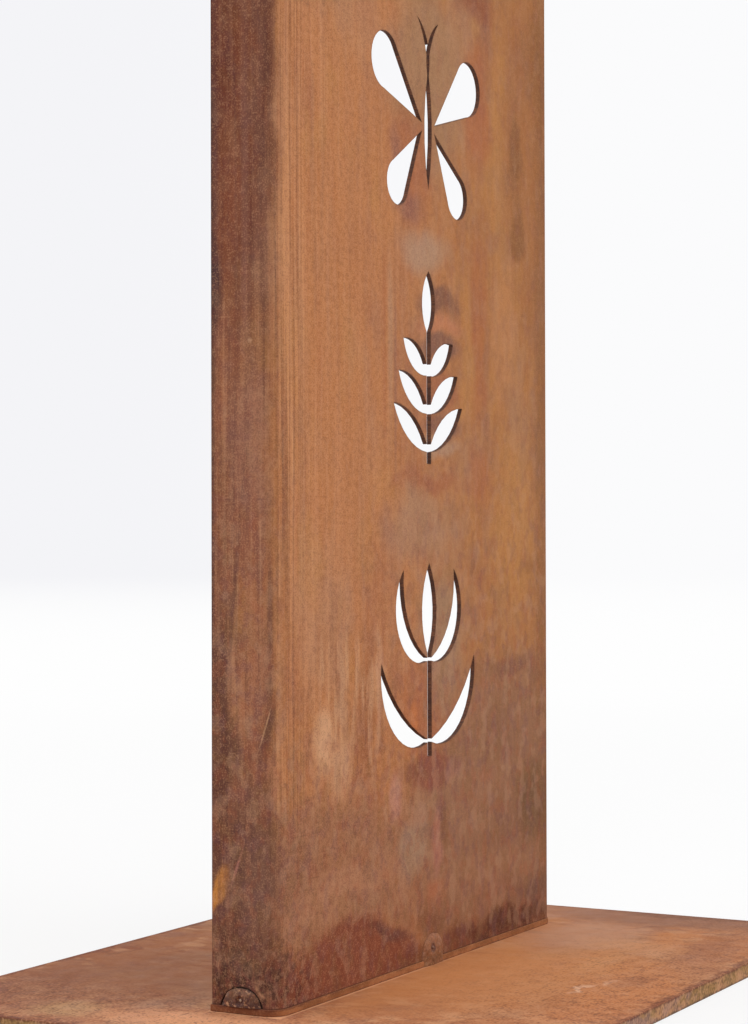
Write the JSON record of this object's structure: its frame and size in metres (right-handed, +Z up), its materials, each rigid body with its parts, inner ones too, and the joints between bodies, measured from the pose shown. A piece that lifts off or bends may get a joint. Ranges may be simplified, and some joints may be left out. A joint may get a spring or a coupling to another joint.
{
  "type": "garden welcome sign",
  "caption": "Tall garden sign of weathering steel: a folded panel cut through with a column of folk ornaments, tack welded to a foot plate on a flat base plate.",
  "frame": {"origin": "middle of the base plate's underside, on the ground", "axes": "+Z up along the panel; the panel's ornamented front faces -Y; +X to the right seen from the front"},
  "size_m": [0.26, 0.2, 1],
  "materials": {
    "panel_steel": "weathered orange-brown rust patina with vertical streaks and cloudy stains",
    "foot_steel": "darker rust patina on a cut edge",
    "weld_metal": "dull olive-brown weld metal, lightly rusted",
    "base_steel": "orange-tan rust patina, mottled along the plate",
    "fastener_steel": "zinc-plated steel, dulled and spotted with rust"
  },
  "bodies": {
    "root": {"sign_panel": "panel_steel", "foot_plate": "foot_steel", "weld_left": "weld_metal", "weld_front": "weld_metal", "weld_right": "weld_metal", "base_plate": "base_steel", "base_screws": "fastener_steel", "base_washers": "fastener_steel", "base_nuts": "fastener_steel"}
  },
  "joints": []
}
